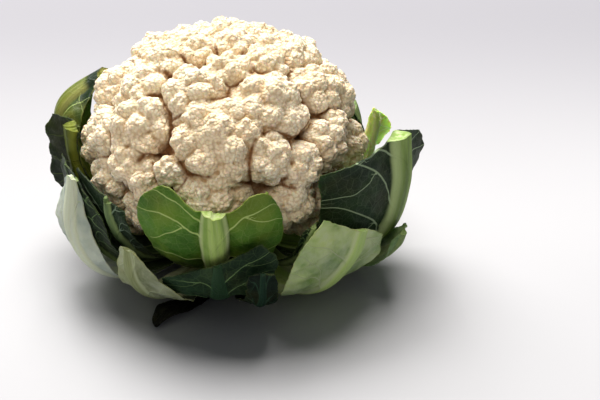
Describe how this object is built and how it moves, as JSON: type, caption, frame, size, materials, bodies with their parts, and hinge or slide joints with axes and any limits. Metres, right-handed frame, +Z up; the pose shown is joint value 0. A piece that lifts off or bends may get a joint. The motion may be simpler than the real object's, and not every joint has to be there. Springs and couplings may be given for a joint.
{
  "type": "cauliflower",
  "caption": "Whole head of cauliflower with a domed cream curd of lobed florets, ribbed green leaves cut short round it, and a cut stalk that it rests on.",
  "frame": {"origin": "centre of the stalk's flat cut face, which is on the surface that the head rests on", "axes": "+Z up from the cut face through the crown of the curd; -Y is the side that faces the picture's camera, +X is to its right"},
  "size_m": [0.2057, 0.185, 0.1289],
  "materials": {
    "curd": "matt cream-white florets with a fine grain, warmer in the creases",
    "stalk": "smooth pale green skin and a moist whitish cut face",
    "leaf_bright": "bright yellow-green blade with a pale thick midrib, satin",
    "leaf_dark": "dark blue-green blade with pale raised veins, satin",
    "leaf_waxy": "pale grey-green underside with a waxy bloom",
    "leaf_withered": "dark limp leaf scrap"
  },
  "bodies": {
    "root": {"curd": "curd", "stalk": "stalk", "leaf_front": "leaf_bright", "leaf_front_left": "leaf_dark", "leaf_left": "leaf_dark", "leaf_upper_left": "leaf_bright", "leaf_dark_left": "leaf_dark", "leaf_small_right": "leaf_dark", "leaf_dark_front": "leaf_dark", "leaf_right": "leaf_dark", "leaf_frilled_right": "leaf_bright", "leaf_low_front_left": "leaf_waxy", "leaf_low_front": "leaf_dark", "leaf_low_left": "leaf_waxy", "leaf_low_right": "leaf_waxy", "leaf_low_far_right": "leaf_dark", "leaf_scrap": "leaf_withered", "leaf_back_right": "leaf_bright", "leaf_back": "leaf_bright", "leaf_back_left": "leaf_bright", "leaf_far_back_right": "leaf_dark", "leaf_far_back_left": "leaf_dark", "leaf_low_back_right": "leaf_waxy", "leaf_low_back_left": "leaf_waxy"}
  },
  "joints": []
}
